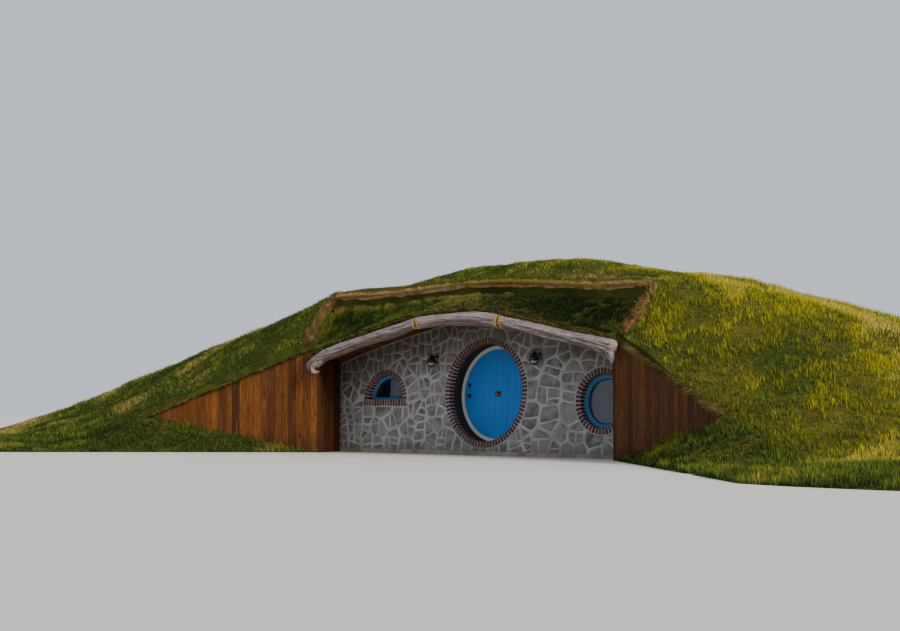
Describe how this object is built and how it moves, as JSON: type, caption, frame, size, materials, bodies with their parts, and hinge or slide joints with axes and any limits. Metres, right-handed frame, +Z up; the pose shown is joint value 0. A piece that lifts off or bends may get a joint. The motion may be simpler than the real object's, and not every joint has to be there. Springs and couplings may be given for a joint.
{
  "type": "earth-sheltered house",
  "caption": "Low earth-sheltered house in a grass mound: leaning rubble-stone front, round door and windows, arched log eave, boarded retaining walls.",
  "frame": {"origin": "on the ground under the centre of the front doorway", "axes": "+X along the front to the right seen from outside, +Y into the hill, +Z up"},
  "size_m": [33.8695, 14.8661, 3.5243],
  "materials": {
    "rubble_stone": "random rubble, raised mortar",
    "brick": "dark red-brown, light mortar",
    "blue_paint": "azure blue paint on boards",
    "window_glass": "clear, smooth",
    "dark_lining": "charcoal painted",
    "cream_paint": "cream painted",
    "brass": "aged, dull",
    "black_iron": "black painted",
    "weathered_log": "weathered grey, ochre cuts",
    "stained_boards": "stained cedar boards",
    "concrete": "plain concrete",
    "turf": "grass turf over packed earth"
  },
  "bodies": {
    "house": {"front_wall_left": "rubble_stone", "front_wall_right": "rubble_stone", "front_wall_over_door": "rubble_stone", "front_wall_under_door": "rubble_stone", "door_brick_ring": "brick", "round_window_brick_ring": "brick", "arched_window_bricks": "brick", "arched_window_sill": "brick", "round_window_frame": "blue_paint", "arched_window_frame": "blue_paint", "round_window_glass": "window_glass", "arched_window_glass": "window_glass", "left_lantern_globe": "window_glass", "right_lantern_globe": "window_glass", "door_lining": "dark_lining", "door_frame": "cream_paint", "hinge_brackets": "black_iron", "left_lantern": "black_iron", "right_lantern": "black_iron", "left_log": "weathered_log", "middle_log": "weathered_log", "right_log": "weathered_log", "porch_soffit": "stained_boards", "roof_vault": "stained_boards", "right_return_wall": "stained_boards", "left_return_wall": "stained_boards", "right_wing_wall": "stained_boards", "left_wing_wall": "stained_boards", "right_side_wall": "concrete", "left_side_wall": "concrete", "back_wall": "concrete", "floor": "concrete", "footing_ledge": "concrete", "right_mound": "turf", "left_mound": "turf", "rear_mound": "turf", "roof_turf": "turf", "scoop_turf": "turf", "right_berm": "turf", "left_berm": "turf"},
    "door": {"door_leaf": "blue_paint", "door_knob": "brass", "door_deadbolt": "black_iron", "door_handle": "black_iron", "door_hinge_straps": "black_iron"}
  },
  "joints": [
    {"name": "door_hinge", "type": "hinge", "parent": "house", "child": "door", "pos_m": [0.88, 0.49036, 1.07206], "axis": [0, -0.061, -0.9981], "range_deg": [0, 95]}
  ]
}
